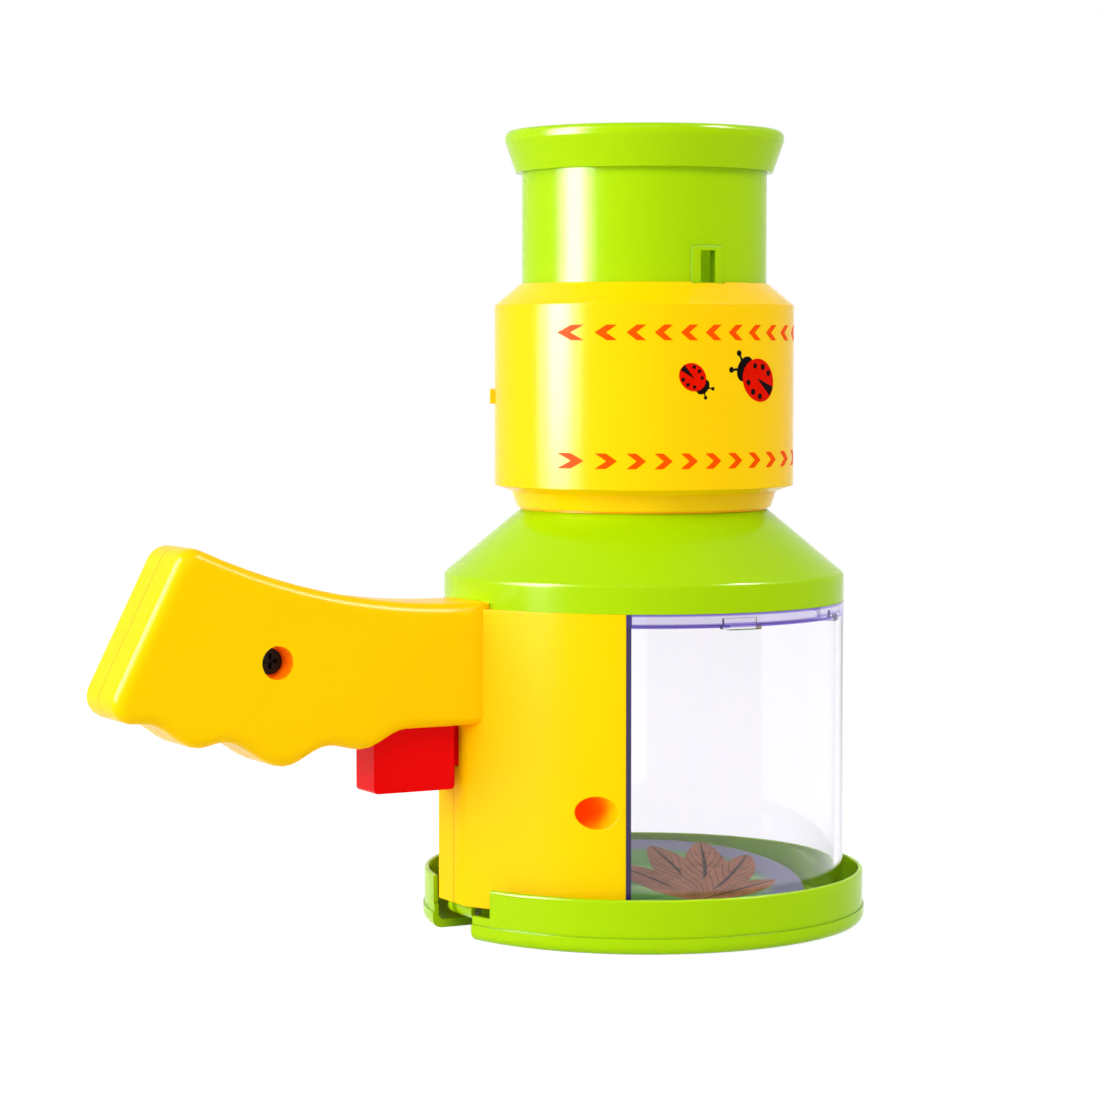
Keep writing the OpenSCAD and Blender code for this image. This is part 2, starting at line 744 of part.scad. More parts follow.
// Ear that turns on the hinge pin and carries one end of the link pin
module tray_ear(side) {
    y0 = side < 0 ? -ear_out : ear_in;
    y1 = side < 0 ? -ear_in : ear_out;
    front = hinge_x + ear_r;
    difference() {
        union() {
            y_plate([[-notch_x, 0], [front, 0], [front, hinge_z], [hinge_x - ear_r, hinge_z],
                [-notch_x, floor_t]], y0, y1);
            y_bar(hinge_x, hinge_z, ear_r, y0, y1);
            y_plate([[hinge_x, hinge_z - link_boss], [hinge_x, hinge_z + link_boss],
                [link_x, hinge_z + link_boss], [link_x, hinge_z - link_boss]], y0, y1);
            y_bar(link_x, hinge_z, link_boss, y0, y1);
        }
        y_bar(hinge_x, hinge_z, hinge_r, y0 - over, y1 + over);
        y_bar(link_x, hinge_z, link_r, y0 - over, y1 + over);
    }
}

// Direction in which the card rises, away from the viewer
card_turn = 60;
card_clear = 3.3;
card_cut = split_x - card_clear;
card_mid = card_r * sin(card_tilt) + floor_t + seat_gap;

// Two sloping ribs on the floor that the card lies on
module card_rests() {
    rib_t = 1.8;
    rib_in = 7.2;
    rib_side = 14.4;
    rib_reach = card_r - rib_in;
    slope = tan(card_tilt);
    under = card_mid - seat_gap / 2;
    intersection() {
        rotate([0, 0, card_turn - 90]) for (side = [-1, 1])
            translate([side * rib_side - rib_t / 2, 0, 0]) rotate([90, 0, 90])
                linear_extrude(rib_t) polygon([[-rib_reach, 0], [rib_reach, 0],
                    [rib_reach, under + rib_reach * slope], [-rib_reach, under - rib_reach * slope]]);
        linear_extrude(rim_h * 2) chamber_outline(chamber_r - clear_t - over, card_cut);
    }
}

module link_pin() {
    color(steel) y_bar(link_x, hinge_z, link_r - run_gap / 2, -ear_out, ear_out);
}

// Card with a straight rear side, so that it clears the chamber's flat wall
module picture_card() {
    color("#C9D8B0") intersection() {
        translate([0, 0, card_mid]) rotate([0, 0, card_turn - 90]) rotate([card_tilt, 0, 0])
            cylinder(h = card_t, r = card_r, $fn = round_fn);
        translate([-card_cut, -card_r, 0]) cube([card_r * 2 + card_cut, card_r * 2, rim_h * 2]);
    }
}

module trigger() {
    e = trigger_edge;
    color(trigger_red) {
        // Finger block with its small rounded edges
        translate([0, -trigger_half, 0]) rotate([-90, 0, 0]) mirror([0, 1, 0])
            linear_extrude(trigger_half * 2) polygon(concat(
                arc([trigger_front - e, trigger_z + e], e, 0, -90, 4),
                arc([trigger_back + e, trigger_z + e], e, 270, 180, 4),
                [[trigger_back, trigger_top], [trigger_front, trigger_top]]));
        y_plate([[trigger_front - e, arm_z], [trigger_front - e, arm_top],
            [rod_x - rod_t / 2 - seat_gap, arm_top], [rod_x - rod_t / 2 - seat_gap, arm_z]],
            -arm_half, arm_half);
        // Tongue through the rod's head, with a hook that keeps the rod on
        y_plate([[rod_x - rod_t, tongue_z], [rod_x + rod_t / 2 + seat_gap, tongue_z],
            [rod_x + rod_t / 2 + seat_gap, tongue_z - hook_h], [tongue_end, tongue_z - hook_h],
            [tongue_end, tongue_top], [rod_x - rod_t, tongue_top]], -tongue_half, tongue_half);
        translate([spring_x, 0, trigger_top - e])
            cylinder(h = spring_peg_h + e, r = spring_peg_r, $fn = small_fn);
    }
}

// Strip that hangs from the trigger's tongue and lifts the link pin
module pull_rod() {
    eye_half = swing_in / 2;
    eye_mid = link_x + eye_half;
    color(lime) difference() {
        union() {
            translate([rod_x - rod_t / 2, -rod_half, hinge_z])
                cube([rod_t, rod_half * 2, tongue_z - hinge_z]);
            translate([rod_x - rod_t / 2, -rod_head_half, tongue_z - grip_wall])
                cube([rod_t, rod_head_half * 2, rod_top - tongue_z + grip_wall]);
            y_bar(link_x + rod_t / 2 - seat_gap, hinge_z, rod_eye_r, -rod_half, rod_half);
            y_bar(link_x + rod_t / 2 - seat_gap + eye_half, hinge_z, rod_eye_r, -rod_half, rod_half);
        }
        // Slotted eye: the open pivot of the linkage
        for (x = [link_x, link_x + swing_in])
            y_bar(x, hinge_z, link_r + rod_play, -rod_half - over, rod_half + over);
        translate([link_x, -rod_half - over, hinge_z - link_r - rod_play])
            cube([swing_in, (rod_half + over) * 2, (link_r + rod_play) * 2]);
        translate([rod_x - rod_t, -tongue_half - seat_gap, tongue_z - seat_gap])
            cube([rod_t * 2, (tongue_half + seat_gap) * 2, tongue_top - tongue_z + seat_gap * 2]);
    }
}

// Compression spring: one unbroken wire whose ends stand straight
module trigger_spring() {
    rings = 8;
    sides = 6;
    z0 = trigger_top + spring_play;
    z1 = spring_seat_z - spring_play;
    rise = z1 - z0 - wire_d * 2;
    count = spring_turns * rings;
    helix = [for (i = [0:count]) [spring_r * cos(360 * i / rings), spring_r * sin(360 * i / rings),
        z0 + wire_d + rise * i / count]];
    path = concat([[spring_r, 0, z0]], helix, [[spring_r, 0, z1]]);
    n = len(path);
    // Ring square to the path at each point, level at the two straight ends
    function along(i) = i == 0 || i == n - 1 ? [0, 0, 1]
        : (path[i + 1] - path[i - 1]) / norm(path[i + 1] - path[i - 1]);
    function radial(i) = let (p = path[i]) [p[0], p[1], 0] / norm([p[0], p[1], 0]);
    points = [for (i = [0:n - 1]) let (u = radial(i), v = cross(along(i), u), w = v / norm(v))
        each [for (k = [0:sides - 1])
            path[i] + wire_d / 2 * (u * cos(360 * k / sides) + w * sin(360 * k / sides))]];
    sides_faces = [for (i = [0:n - 2]) each [for (k = [0:sides - 1])
        each [[i * sides + k, (i + 1) * sides + k, (i + 1) * sides + (k + 1) % sides],
            [i * sides + k, (i + 1) * sides + (k + 1) % sides, i * sides + (k + 1) % sides]]]];
    echo(spring_gap = rise / spring_turns - wire_d);
    color(steel) translate([spring_x, 0, 0]) polyhedron(points, concat(sides_faces,
        [[for (k = [0:sides - 1]) k]], [[for (k = [sides - 1:-1:0]) (n - 1) * sides + k]]),
        convexity = 6);
}

near_body_half();
far_body_half();
viewing_chamber();
shoulder();
focus_collar();
objective_lens();
objective_ring();
handle_screw();
body_screw();
hinge_pin();
eyepiece_tube();
eyepiece_cap();
eye_lens();
eye_lens_ring();
trigger();
pull_rod();
trigger_spring();
base_tray();
link_pin();
picture_card();
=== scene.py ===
"""Looks of a hand-held insect catcher: glossy mouldings, clear chamber, printed collar and card."""
import json
import math

import bpy
import numpy as np
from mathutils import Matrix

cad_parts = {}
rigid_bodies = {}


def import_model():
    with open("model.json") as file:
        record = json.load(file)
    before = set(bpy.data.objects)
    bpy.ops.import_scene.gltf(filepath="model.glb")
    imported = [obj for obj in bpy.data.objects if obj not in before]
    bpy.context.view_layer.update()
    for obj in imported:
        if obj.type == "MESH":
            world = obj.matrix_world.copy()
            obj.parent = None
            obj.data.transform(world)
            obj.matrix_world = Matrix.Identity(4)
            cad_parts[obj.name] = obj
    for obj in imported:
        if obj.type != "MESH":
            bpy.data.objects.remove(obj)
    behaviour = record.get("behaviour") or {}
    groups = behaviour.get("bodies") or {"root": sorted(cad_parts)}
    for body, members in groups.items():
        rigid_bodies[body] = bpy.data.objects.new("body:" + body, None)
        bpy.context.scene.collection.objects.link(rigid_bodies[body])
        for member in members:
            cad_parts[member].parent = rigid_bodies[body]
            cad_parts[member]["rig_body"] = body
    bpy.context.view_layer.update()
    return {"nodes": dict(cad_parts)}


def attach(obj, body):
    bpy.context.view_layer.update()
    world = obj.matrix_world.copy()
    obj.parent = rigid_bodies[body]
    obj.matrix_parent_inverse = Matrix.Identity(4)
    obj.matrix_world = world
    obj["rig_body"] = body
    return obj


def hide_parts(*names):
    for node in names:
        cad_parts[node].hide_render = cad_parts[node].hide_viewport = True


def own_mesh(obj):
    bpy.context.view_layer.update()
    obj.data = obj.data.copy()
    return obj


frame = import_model()

MM = 0.001

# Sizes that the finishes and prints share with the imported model, in mm: the collar's outside, the card's
# thickness, the height of its middle, its tilt and the way it faces
COLLAR_R = 37.0
CARD_T = 0.6
CARD_MID = 7.321
CARD_TILT = math.radians(7.5)
CARD_TURN = math.radians(-30.0)

# The clear chamber, in mm: the flange's lower edge, the band under its top, the flat rear wall, and how far
# to each side the rear corners lie
FLANGE_EDGE = 76.55
FLANGE_TOP = 79.0
REAR_WALL = -27.25
CORNER_OUT = 40.05

# The collar's print, in mm: its middle to the left of the near side, the length from there to its ends,
# and the share by which it is stretched there
PRINT_MIDDLE = -2.2
PRINT_REACH = 31.0
PRINT_STRETCH = 0.14

# The rows of chevrons: how many, and in mm how far apart, and each one's height, arm width and slant
CHEVRONS = 11
CHEVRON_PITCH = 6.2
CHEVRON_HEIGHT = 3.7
CHEVRON_ARM = 2.1
CHEVRON_SLANT = 2.2

# Lower and upper face of each ink film above the collar, in mm: a later ink lies over an earlier one
CHEVRON_FILM = (0.005, 0.03)
HEAD_FILM = (0.005, 0.02)
WING_FILM = (0.02, 0.035)
SPOT_FILM = (0.03, 0.045)

# The dry leaves fan out over the card from one stalk: each one's bend, tip and half width, in mm. Each lies
# a step above the one before.
STALK = (14, -13)
LEAVES = (((8, -2), (-9, 20), 5.5), ((12, 6), (2, 34), 6.0), ((17, 8), (15, 38), 6.0),
          ((22, 4), (27, 26), 5.5), ((24, -4), (33, 4), 4.5))
LEAF_GAP = 0.005
LEAF_FILM = 0.02
LEAF_STEP = 0.025

# Each soft light, in metres and watts: its place, the point it faces, its width and height, its power, and
# whether it only shows as a gleam on glossy skins
LIGHTS = {
    "left_box": ((-0.98, 0.14, 0.35), (0.0, 0.0, 0.12), (0.65, 0.6), 6.6, False),
    "left_halo": ((-0.985, 0.125, 0.51), (0.0, 0.0, 0.15), (0.78, 0.94), 100.0, True),
    "left_gleam": ((-0.955, 0.11, 0.5), (0.0, 0.0, 0.15), (0.36, 0.9), 110.0, True),
    "front_box": ((-0.45, -0.75, 0.8), (0.0, 0.0, 0.1), (0.5, 0.5), 4.6, False),
    "right_box": ((0.75, -0.35, 0.6), (0.0, 0.0, 0.12), (0.3, 0.3), 1.6, False),
    "right_gleam": ((0.5, -0.43, 0.87), (0.0, 0.0, 0.1), (0.28, 0.28), 40.0, True),
}


def srgb(hex_code, alpha=1.0):
    """A hex colour as linear red, green, blue and alpha."""
    part = np.array([int(hex_code[i:i + 2], 16) for i in (1, 3, 5)]) / 255.0
    linear = np.where(part <= 0.04045, part / 12.92, ((part + 0.055) / 1.055) ** 2.4)
    return (*linear.tolist(), alpha)


# Materials

def add(tree, kind, values=None, links=None, **options):
    """One node with its options, its socket values and its links, each given as socket: (node, output)."""
    made = tree.nodes.new(kind)
    for key, value in options.items():
        setattr(made, key, value)
    for key, value in (values or {}).items():
        made.inputs[key].default_value = value
    for key, (source, output) in (links or {}).items():
        tree.links.new(source.outputs[output], made.inputs[key])
    return made


def new_material(name):
    """An empty material and its tree."""
    made = bpy.data.materials.new(name)
    made.use_nodes = True
    made.node_tree.nodes.clear()
    return made, made.node_tree


def finished(made, skin):
    """The material with its skin linked to the output."""
    add(made.node_tree, "ShaderNodeOutputMaterial", None, {"Surface": (skin, 0)})
    return made


def moulded_abs(name, colour, deep, corner, painted_glow_colour="#000000", rough=0.18, gloss=0.055, seam=None,
                depth=10.0):
    """Injection-moulded ABS: a faint cloud where the melt flowed, edges worn to a soft 0.3 mm glint by the
    polished tool, and the tool's own orange peel, about 1.2 mm across. Painted shade: wells and inside corners,
    as far as depth in mm, take the darker corner colour, and a painted glow in the glow colour is added there."""
    made, tree = new_material(name)
    where = add(tree, "ShaderNodeTexCoord")
    flow = add(tree, "ShaderNodeTexNoise", {"Scale": 22.0, "Detail": 2.0}, {"Vector": (where, "Object")})
    tint = add(tree, "ShaderNodeMix", {6: srgb(colour), 7: srgb(deep)}, {0: (flow, "Fac")},
               data_type="RGBA")
    if seam:
        # The two halves meet in a line about 0.3 mm wide along the middle plane
        place = add(tree, "ShaderNodeSeparateXYZ", None, {0: (where, "Object")})
        off = add(tree, "ShaderNodeMath", None, {0: (place, "Y")}, operation="ABSOLUTE")
        line = add(tree, "ShaderNodeMapRange", {"From Min": 0.08 * MM, "From Max": 0.22 * MM},
                   {"Value": (off, "Value")})
        tint = add(tree, "ShaderNodeMix", {6: srgb(seam)}, {0: (line, "Result"), 7: (tint, 2)},
                   data_type="RGBA")
    # Painted shade: where ambient occlusion finds the skin hemmed in, the colour turns to the corner colour
    open_sky = add(tree, "ShaderNodeAmbientOcclusion", {"Distance": depth * MM}, samples=5,
                   only_local=True)
    hollow = add(tree, "ShaderNodeMapRange", {"From Min": 0.15, "From Max": 0.9},
                 {"Value": (open_sky, "AO")}, interpolation_type="SMOOTHSTEP")
    skin_tint = add(tree, "ShaderNodeMix", {6: srgb(corner)}, {0: (hollow, "Result"), 7: (tint, 2)},
                    data_type="RGBA")
    # Painted glow: the glow colour is added as emission in the same hollows, though the part is no lamp
    through = add(tree, "ShaderNodeMix", {6: srgb(painted_glow_colour), 7: (0.0, 0.0, 0.0, 1.0)},
                  {0: (hollow, "Result")}, data_type="RGBA")
    edge = add(tree, "ShaderNodeBevel", {"Radius": 0.3 * MM}, samples=4)
    peel = add(tree, "ShaderNodeTexNoise", {"Scale": 800.0, "Detail": 1.0}, {"Vector": (where, "Object")})
    bump = add(tree, "ShaderNodeBump", {"Strength": 0.02, "Distance": 0.2 * MM},
               {"Height": (peel, "Fac"), "Normal": (edge, "Normal")})
    skin = add(tree, "ShaderNodeBsdfPrincipled",
               {"Roughness": rough, "IOR": 1.54, "Specular IOR Level": gloss, "Emission Strength": 0.25},
               {"Base Color": (skin_tint, 2), "Normal": (bump, "Normal"), "Emission Color": (through, 2)})
    return finished(made, skin)


def polished_acrylic(name, colour):
    """Clear moulded acrylic: polished tool faces, seen straight through."""
    made, tree = new_material(name)
    skin = add(tree, "ShaderNodeBsdfPrincipled",
               {"Base Color": srgb(colour), "Roughness": 0.015, "IOR": 1.49, "Transmission Weight": 1.0})
    return finished(made, skin)


def clear_box(name):
    """Clear moulded polystyrene with a violet toner: nearly colourless straight through its 2 mm walls,
    violet where the eye looks along a wall, and deeper in the thick flange on top. Painted shade: dark
    violet lines at the flange's lower edge, in its top and in the rear corners, which also get a painted violet
    glow."""
    made, tree = new_material(name)
    where = add(tree, "ShaderNodeTexCoord")
    place = add(tree, "ShaderNodeSeparateXYZ", None, {0: (where, "Object")})

    # Violet in the flange and along the walls
    flange = add(tree, "ShaderNodeMapRange",
                 {"From Min": (FLANGE_EDGE - 0.35) * MM, "From Max": (FLANGE_EDGE + 0.15) * MM, "To Max": 0.4},
                 {"Value": (place, "Z")})
    rim = add(tree, "ShaderNodeLayerWeight", {"Blend": 0.5})
    along = add(tree, "ShaderNodeMapRange", {"From Min": 0.72, "From Max": 1.0}, {"Value": (rim, "Facing")},
                interpolation_type="SMOOTHSTEP")
    pale = add(tree, "ShaderNodeMath", None, {0: (flange, "Result"), 1: (along, "Result")},
               operation="MAXIMUM")
    tint = add(tree, "ShaderNodeMix", {6: srgb("#F9F8FC"), 7: srgb("#8A74C4")}, {0: (pale, "Value")},
               data_type="RGBA")

    # Painted shade and painted glow: a darker violet in the rear corners, in a line at the flange's lower edge,
    # and in its top
    rear = add(tree, "ShaderNodeMapRange",
               {"From Min": (REAR_WALL + 0.15) * MM, "From Max": (REAR_WALL - 0.15) * MM},
               {"Value": (place, "X")})
    far = add(tree, "ShaderNodeMath", None, {0: (place, "Y")}, operation="ABSOLUTE")
    side = add(tree, "ShaderNodeMapRange",
               {"From Min": (CORNER_OUT - 0.15) * MM, "From Max": (CORNER_OUT + 0.15) * MM},
               {"Value": (far, "Value")})
    corner = add(tree, "ShaderNodeMath", None, {0: (rear, "Result"), 1: (side, "Result")},
                 operation="MULTIPLY")
    lift = add(tree, "ShaderNodeMath", {1: FLANGE_EDGE * MM}, {0: (place, "Z")}, operation="SUBTRACT")
    span = add(tree, "ShaderNodeMath", None, {0: (lift, "Value")}, operation="ABSOLUTE")
    line = add(tree, "ShaderNodeMapRange", {"From Min": 0.45 * MM, "From Max": 0.3 * MM},
               {"Value": (span, "Value")})
    top = add(tree, "ShaderNodeMapRange",
              {"From Min": (FLANGE_TOP - 0.2) * MM, "From Max": (FLANGE_TOP + 0.1) * MM},
              {"Value": (place, "Z")})
    edges = add(tree, "ShaderNodeMath", None, {0: (top, "Result"), 1: (line, "Result")},
                operation="MAXIMUM")
    painted_dark_edges = add(tree, "ShaderNodeMath", None, {0: (corner, "Value"), 1: (edges, "Value")},
                 operation="MAXIMUM")
    deep = add(tree, "ShaderNodeMix", {7: srgb("#5A46A0")}, {0: (painted_dark_edges, "Value"), 6: (tint, 2)},
               data_type="RGBA")
    # A painted violet glow on these edges, though the box is no lamp
    painted_edge_glow = add(tree, "ShaderNodeMix", {6: (0.0, 0.0, 0.0, 1.0), 7: srgb("#35206C")},
               {0: (painted_dark_edges, "Value")}, data_type="RGBA")
    skin = add(tree, "ShaderNodeBsdfPrincipled",
               {"Roughness": 0.015, "IOR": 1.49, "Transmission Weight": 1.0, "Specular IOR Level": 0.1,
                "Emission Strength": 0.5},
               {"Base Color": (deep, 2), "Emission Color": (painted_edge_glow, 2)})
    return finished(made, skin)


def steel(name, colour, rough):
    """Blackened or drawn steel: fine streaks about 0.3 mm apart."""
    made, tree = new_material(name)
    where = add(tree, "ShaderNodeTexCoord")
    streak = add(tree, "ShaderNodeTexNoise", {"Scale": 3000.0, "Detail": 2.0}, {"Vector": (where, "Object")})
    shine = add(tree, "ShaderNodeMapRange", {"To Min": rough * 0.8, "To Max": rough * 1.3},
                {"Value": (streak, "Fac")})
    skin = add(tree, "ShaderNodeBsdfPrincipled", {"Base Color": srgb(colour), "Metallic": 1.0},
               {"Roughness": (shine, "Result")})
    return finished(made, skin)


def pad_print(name, colour, deep):
    """Pad-printed ink: an even film, slightly thinner in places, so the tone drifts a little."""
    made, tree = new_material(name)
    where = add(tree, "ShaderNodeTexCoord")
    film = add(tree, "ShaderNodeTexNoise", {"Scale": 350.0, "Detail": 3.0}, {"Vector": (where, "Object")})
    tint = add(tree, "ShaderNodeMix", {6: srgb(colour), 7: srgb(deep)}, {0: (film, "Fac")},
               data_type="RGBA")
    skin = add(tree, "ShaderNodeBsdfPrincipled",
               {"Roughness": 0.3, "IOR": 1.5, "Specular IOR Level": 0.008}, {"Base Color": (tint, 2)})
    return finished(made, skin)


def printed_card():
    """Laminated printed card: blurred meadow greens in the middle, and a grey border that begins 27 mm out
    and is full at 34 mm."""
    made, tree = new_material("laminated_printed_card")
    where = add(tree, "ShaderNodeTexCoord")
    place = add(tree, "ShaderNodeMapping",
                {"Scale": (1000.0, 1000.0, 0.0), "Rotation": (0.0, 0.0, -CARD_TURN)},
                {"Vector": (where, "Object")})
    # Soft blades of grass lie across the card, each about 8 mm wide and 25 mm long
    stretch = add(tree, "ShaderNodeMapping", {"Scale": (0.04, 0.12, 1.0)}, {"Vector": (place, "Vector")})
    blur = add(tree, "ShaderNodeTexNoise", {"Scale": 1.0, "Detail": 3.0, "Roughness": 0.45},
               {"Vector": (stretch, "Vector")})
    meadow = add(tree, "ShaderNodeValToRGB", None, {"Fac": (blur, "Fac")})
    ramp = meadow.color_ramp
    ramp.elements[0].position, ramp.elements[0].color = 0.3, srgb("#2E6A18")
    ramp.elements[1].position, ramp.elements[1].color = 0.72, srgb("#90B468")
    ramp.elements.new(0.5).color = srgb("#54863A")
    reach = add(tree, "ShaderNodeVectorMath", None, {0: (place, "Vector")}, operation="LENGTH")
    edge = add(tree, "ShaderNodeMapRange", {"From Min": 27.0, "From Max": 34.0}, {"Value": (reach, "Value")},
               interpolation_type="SMOOTHSTEP")
    tint = add(tree, "ShaderNodeMix", {7: srgb("#74728A")}, {0: (edge, "Result"), 6: (meadow, "Color")},
               data_type="RGBA")
    skin = add(tree, "ShaderNodeBsdfPrincipled",
               {"Roughness": 0.18, "IOR": 1.5, "Specular IOR Level": 0.01}, {"Base Color": (tint, 2)})
    return finished(made, skin)


def printed_leaf():
    """Printed dry leaf: matt brown halftone that darkens at the midrib and at the veins, which leave it
    about 4 mm apart and lean towards the tip."""
    made, tree = new_material("printed_dry_leaf")
    chart = add(tree, "ShaderNodeUVMap", uv_map="blade")
    part = add(tree, "ShaderNodeSeparateXYZ", None, {0: (chart, "UV")})
    off = add(tree, "ShaderNodeMath", {1: 0.5}, {0: (part, "Y")}, operation="SUBTRACT")
    side = add(tree, "ShaderNodeMath", None, {0: (off, "Value")}, operation="ABSOLUTE")
    lean = add(tree, "ShaderNodeMath", {1: 6.0}, {0: (side, "Value")}, operation="MULTIPLY")
    along = add(tree, "ShaderNodeMath", {1: 9.0}, {0: (part, "X")}, operation="MULTIPLY")
    phase = add(tree, "ShaderNodeMath", None, {0: (along, "Value"), 1: (lean, "Value")},
                operation="SUBTRACT")
    cycle = add(tree, "ShaderNodeMath", None, {0: (phase, "Value")}, operation="FRACT")
    vein = add(tree, "ShaderNodeMapRange", {"From Min": 0.0, "From Max": 0.22}, {"Value": (cycle, "Value")},
               interpolation_type="SMOOTHSTEP")
    rib = add(tree, "ShaderNodeMapRange", {"From Min": 0.015, "From Max": 0.07}, {"Value": (side, "Value")},
              interpolation_type="SMOOTHSTEP")
    both = add(tree, "ShaderNodeMath", None, {0: (vein, "Result"), 1: (rib, "Result")},
               operation="MULTIPLY")
    where = add(tree, "ShaderNodeTexCoord")
    tone = add(tree, "ShaderNodeTexNoise", {"Scale": 220.0, "Detail": 4.0, "Roughness": 0.65},
               {"Vector": (where, "Object")})
    blade = add(tree, "ShaderNodeMix", {6: srgb("#3A140C"), 7: srgb("#B87858")}, {0: (tone, "Fac")},
                data_type="RGBA")
    tint = add(tree, "ShaderNodeMix", {6: srgb("#2A100C")}, {0: (both, "Value"), 7: (blade, 2)},
               data_type="RGBA")
    skin = add(tree, "ShaderNodeBsdfPrincipled",
               {"Roughness": 0.3, "IOR": 1.5, "Specular IOR Level": 0.002}, {"Base Color": (tint, 2)})
    return finished(made, skin)


# Each moulding's third colour is painted shade for its hollows and inside corners; the fourth, where given, is
# the colour of a painted glow there
LIME = moulded_abs("lime_moulded_abs", "#A9D400", "#A3D000", "#307C00", depth=40.0)
YELLOW = moulded_abs("yellow_moulded_abs", "#FFD000", "#FFCA00", "#FF9400", "#FF5000", rough=0.24,
                     gloss=0.025, seam="#E89000")
COLLAR_YELLOW = moulded_abs("collar_moulded_abs", "#FFD000", "#FFCA00", "#FF9400", "#FF5000")
RED = moulded_abs("red_moulded_abs", "#EC0000", "#E40000", "#7A0000", gloss=0.04)
BLACK = moulded_abs("black_moulded_abs", "#202020", "#181818", "#101010", rough=0.45)
CLEAR = clear_box("clear_moulded_polystyrene")
LENS = polished_acrylic("clear_polished_acrylic", "#FBFCFF")
SCREW_STEEL = steel("blackened_steel", "#2A201C", 0.4)
PIN_STEEL = steel("drawn_steel", "#B4B6BA", 0.25)
ORANGE_INK = pad_print("orange_pad_print", "#FF5600", "#FA4E00")
RED_INK = pad_print("red_pad_print", "#E41700", "#DE1000")
BLACK_INK = pad_print("black_pad_print", "#161210", "#0E0C0A")
CARD = printed_card()
LEAF = printed_leaf()


# Meshes

def object_from(name, points, faces, material, slot_name, body):
    """A piece from arrays of points in metres and of faces, riding on a body."""
    mesh = bpy.data.meshes.new(name)
    mesh.from_pydata(points.tolist(), [], faces.tolist())
    mesh.materials.append(material)
    piece = bpy.data.objects.new(name, mesh)
    bpy.context.scene.collection.objects.link(piece)
    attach(piece, body)
    return piece


def merged(source):
    """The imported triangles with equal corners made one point, to a thousandth of a millimetre: the points,
    the faces, and the facet's normal at each corner. Triangles that lose a side are left out."""
    spots = np.empty(len(source.vertices) * 3)
    source.vertices.foreach_get("co", spots)
    corners = np.empty(len(source.loops), dtype=np.int64)
    source.loops.foreach_get("vertex_index", corners)
    normals = np.empty(len(source.loops) * 3)
    source.corner_normals.foreach_get("vector", normals)
    spots, normals = spots.reshape(-1, 3), normals.reshape(-1, 3, 3)
    _, first, index = np.unique(np.round(spots * 1e6).astype(np.int64), axis=0,
                                return_index=True, return_inverse=True)
    spots, faces = spots[first], index.reshape(-1)[corners].reshape(-1, 3)
    real = ((faces[:, 0] != faces[:, 1]) & (faces[:, 1] != faces[:, 2])
            & (faces[:, 2] != faces[:, 0]))
    return spots, faces[real], normals[real].reshape(-1, 3)


def smoothed(spots, faces, normals, crease):
    """A normal for each corner: the mean over the corners that share its point and whose facets turn from
    its own by less than the crease angle, each weighted by its area and its corner angle."""
    place = spots[faces]
    ahead, behind = np.roll(place, -1, axis=1) - place, np.roll(place, 1, axis=1) - place
    turn = np.linalg.norm(np.cross(ahead, behind), axis=2)
    weight = (turn[:, :1] * np.arctan2(turn, np.sum(ahead * behind, axis=2))).reshape(-1)

    # Every pair of corners, left and right, that share a point
    vertex = faces.reshape(-1)
    order = np.argsort(vertex, kind="stable")
    number = np.bincount(vertex, minlength=len(spots))
    start = np.concatenate([[0], np.cumsum(number)[:-1]])
    share = number[vertex]
    left = np.repeat(np.arange(len(vertex)), share)
    step = np.arange(len(left)) - np.repeat(np.cumsum(share) - share, share)
    right = order[start[vertex[left]] + step]

    close = np.sum(normals[left] * normals[right], axis=1) > math.cos(math.radians(crease))
    total = np.zeros_like(normals)
    np.add.at(total, left[close], normals[right[close]] * weight[right[close], None])
    size = np.linalg.norm(total, axis=1, keepdims=True)
    return np.where(size > 1e-18, total / np.maximum(size, 1e-18), normals)


def joined(node, material, slot_name, crease=38.0, kind="moulding"):
    """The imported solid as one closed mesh, smooth except at edges sharper than the crease angle."""
    solid = frame["nodes"][node]
    spots, faces, normals = merged(solid.data)
    piece = object_from(f"{node}_{kind}", spots, faces, material, slot_name, solid["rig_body"])
    piece.data.normals_split_custom_set(smoothed(spots, faces, normals, crease).tolist())
    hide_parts(node)
    return piece


def shell(top, under):
    """A thin closed shell between two grids of points: both grids as quads, and a wall round their rim."""
    rows, columns = top.shape[:2]
    index = np.arange(rows * columns).reshape(rows, columns)
    upper = np.stack([index[:-1, :-1], index[1:, :-1], index[1:, 1:], index[:-1, 1:]],
                     axis=-1).reshape(-1, 4)
    rim = np.concatenate([index[0, :-1], index[:-1, -1], index[-1, :0:-1], index[:0:-1, 0]])
    after = np.roll(rim, -1)
    wall = np.stack([rim, after, after + rows * columns, rim + rows * columns], axis=-1)
    points = np.concatenate([top.reshape(-1, 3), under.reshape(-1, 3)])
    faces = np.concatenate([upper, upper[:, ::-1] + rows * columns, wall])
    # The sum of the faces' signed volumes tells whether they point outwards
    quad = points[faces]
    volume = np.sum(quad[:, 0] * (np.cross(quad[:, 1], quad[:, 2]) + np.cross(quad[:, 2], quad[:, 3])))
    return points, faces if volume > 0 else faces[:, ::-1]


def gathered(shells):
    """Several shells as one set of points and faces."""
    counts = np.cumsum([0] + [len(points) for points, _ in shells[:-1]])
    return (np.concatenate([points for points, _ in shells]),
            np.concatenate([faces + count for (_, faces), count in zip(shells, counts)]))


def square_grid(rows, columns):
    """Two parameters from -1 to 1 on a grid."""
    return np.meshgrid(np.linspace(-1, 1, rows), np.linspace(-1, 1, columns), indexing="ij")


